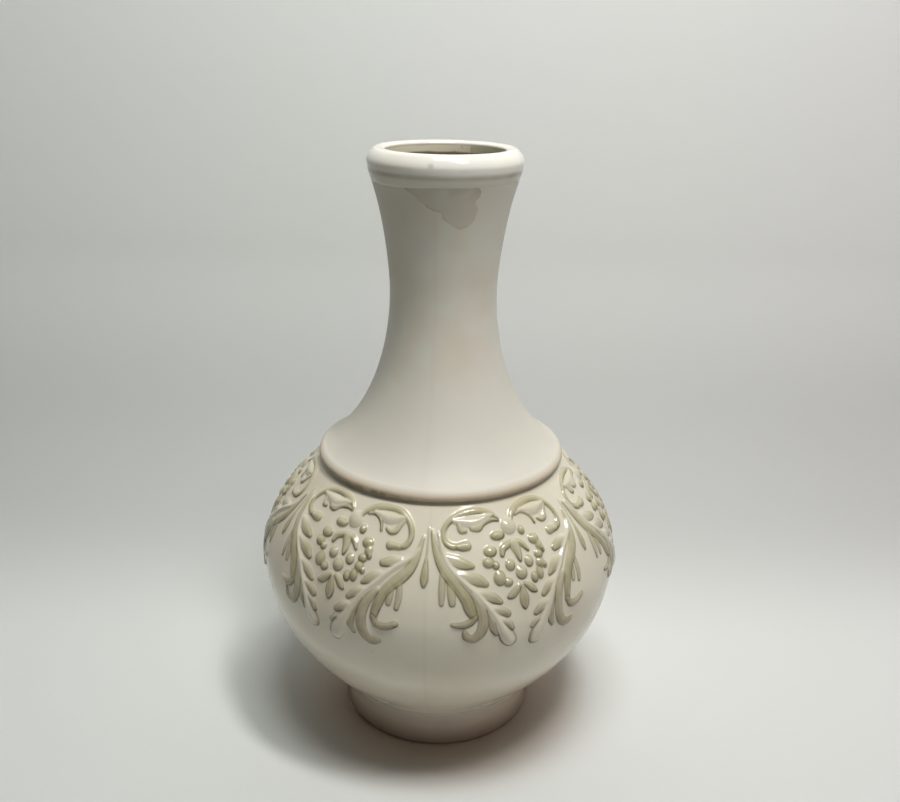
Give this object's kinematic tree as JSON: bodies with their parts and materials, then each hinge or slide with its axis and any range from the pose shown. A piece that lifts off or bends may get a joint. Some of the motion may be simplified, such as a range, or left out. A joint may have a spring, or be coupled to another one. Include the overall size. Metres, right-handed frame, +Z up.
{
  "type": "vase",
  "caption": "Footed ceramic vase: round belly on a foot ring, bell-shaped neck with a rolled lip, and raised grapes, leaves and scrolls round the shoulder",
  "frame": {"origin": "Middle of the foot ring's resting face, on the vase's axis", "axes": "+Z up along the vase's axis, -Y towards the viewer of the picture, +X to the viewer's right"},
  "size_m": [0.2052, 0.2032, 0.327],
  "materials": {
    "glaze_foot": "glossy cream-white glaze",
    "glaze_belly": "glossy cream-white glaze",
    "glaze_neck": "glossy cream-white glaze",
    "glaze_lip": "glossy cream-white glaze",
    "glaze_grape": "glossy glaze over an olive stain that gathers on the raised clay",
    "glaze_leaf": "glossy glaze over an olive stain that gathers on the raised clay",
    "glaze_scroll": "glossy glaze over an olive stain that gathers on the raised clay",
    "glaze_bud": "glossy glaze over an olive stain that gathers on the raised clay"
  },
  "bodies": {
    "root": {"foot_ring": "glaze_foot", "belly_bowl": "glaze_belly", "belly_shoulder": "glaze_belly", "neck_bell": "glaze_neck", "neck_throat": "glaze_neck", "lip_roll": "glaze_lip", "grape_cluster_1": "glaze_grape", "grape_cluster_2": "glaze_grape", "grape_cluster_3": "glaze_grape", "grape_cluster_4": "glaze_grape", "grape_cluster_5": "glaze_grape", "grape_cluster_6": "glaze_grape", "leaf_left_1": "glaze_leaf", "leaf_left_2": "glaze_leaf", "leaf_left_3": "glaze_leaf", "leaf_left_4": "glaze_leaf", "leaf_left_5": "glaze_leaf", "leaf_left_6": "glaze_leaf", "leaf_right_1": "glaze_leaf", "leaf_right_2": "glaze_leaf", "leaf_right_3": "glaze_leaf", "leaf_right_4": "glaze_leaf", "leaf_right_5": "glaze_leaf", "leaf_right_6": "glaze_leaf", "scroll_left_1": "glaze_scroll", "scroll_left_2": "glaze_scroll", "scroll_left_3": "glaze_scroll", "scroll_left_4": "glaze_scroll", "scroll_left_5": "glaze_scroll", "scroll_left_6": "glaze_scroll", "scroll_right_1": "glaze_scroll", "scroll_right_2": "glaze_scroll", "scroll_right_3": "glaze_scroll", "scroll_right_4": "glaze_scroll", "scroll_right_5": "glaze_scroll", "scroll_right_6": "glaze_scroll", "drop_bud_1": "glaze_bud", "drop_bud_2": "glaze_bud", "drop_bud_3": "glaze_bud", "drop_bud_4": "glaze_bud", "drop_bud_5": "glaze_bud", "drop_bud_6": "glaze_bud"}
  },
  "joints": []
}
